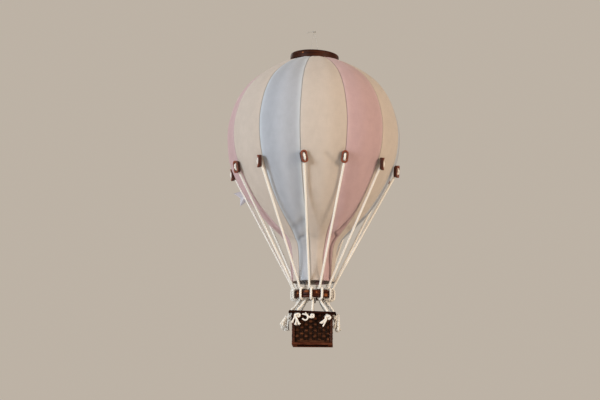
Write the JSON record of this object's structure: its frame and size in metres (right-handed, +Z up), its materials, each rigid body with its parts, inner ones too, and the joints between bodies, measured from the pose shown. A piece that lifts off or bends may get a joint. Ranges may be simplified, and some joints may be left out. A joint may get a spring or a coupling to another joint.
{
  "type": "hanging hot air balloon ornament",
  "caption": "Decorative hanging hot air balloon: a sewn pear-shaped envelope of coloured gores under a turned cap, rigged by cords and toggles to a load ring and a small square woven basket.",
  "frame": {"origin": "the knot of the hanging loop, where a hook or line holds the ornament", "axes": "+Z up; -Y towards the side that the picture shows; +X to the right of that side"},
  "size_m": [0.201, 0.201, 0.3725],
  "materials": {
    "fabric_cream": "matt woven cloth, sewn gores",
    "fabric_blue": "matt woven cloth, pale grey blue",
    "fabric_pink": "matt woven cloth, dusty pink",
    "cap_wood": "dark brown stained, satin",
    "ring_wood": "dark brown stained, satin",
    "toggle_brown": "glossy reddish brown",
    "cord_cotton": "twisted cream cotton",
    "basket_weave": "dark woven cane, satin",
    "basket_wood": "dark stained, satin, worn lighter at the edges",
    "star_resin": "pale lilac pearl",
    "nylon_line": "clear nylon line"
  },
  "bodies": {
    "balloon": {"top_cap": "cap_wood", "hanging_loop": "nylon_line", "gore_01_blue": "fabric_blue", "gore_02_cream": "fabric_cream", "gore_03_pink": "fabric_pink", "gore_04_cream": "fabric_cream", "gore_05_blue": "fabric_blue", "gore_06_cream": "fabric_cream", "gore_07_pink": "fabric_pink", "gore_08_cream": "fabric_cream", "gore_09_blue": "fabric_blue", "gore_10_cream": "fabric_cream", "gore_11_pink": "fabric_pink", "gore_12_cream": "fabric_cream", "toggle_01": "toggle_brown", "toggle_02": "toggle_brown", "toggle_03": "toggle_brown", "toggle_04": "toggle_brown", "toggle_05": "toggle_brown", "toggle_06": "toggle_brown", "toggle_07": "toggle_brown", "toggle_08": "toggle_brown", "toggle_09": "toggle_brown", "toggle_10": "toggle_brown", "toggle_11": "toggle_brown", "toggle_12": "toggle_brown", "cord_01": "cord_cotton", "cord_02": "cord_cotton", "cord_03": "cord_cotton", "cord_04": "cord_cotton", "cord_05": "cord_cotton", "cord_06": "cord_cotton", "cord_07": "cord_cotton", "cord_08": "cord_cotton", "cord_09": "cord_cotton", "cord_10": "cord_cotton", "cord_11": "cord_cotton", "cord_12": "cord_cotton", "load_ring": "ring_wood", "basket_rim": "basket_wood", "basket_base": "basket_wood", "basket_floor": "basket_weave", "basket_wall_front": "basket_weave", "basket_wall_right": "basket_weave", "basket_wall_back": "basket_weave", "basket_wall_left": "basket_weave", "basket_post_front_left": "basket_wood", "basket_post_front_right": "basket_wood", "basket_post_back_right": "basket_wood", "basket_post_back_left": "basket_wood", "star_thread": "cord_cotton"},
    "star": {"star": "star_resin"}
  },
  "joints": [
    {"name": "star_swing", "type": "hinge", "parent": "balloon", "child": "star", "pos_m": [-0.083, 0.064, -0.1773], "axis": [0, 1, 0], "range_deg": [-20, 60]}
  ]
}
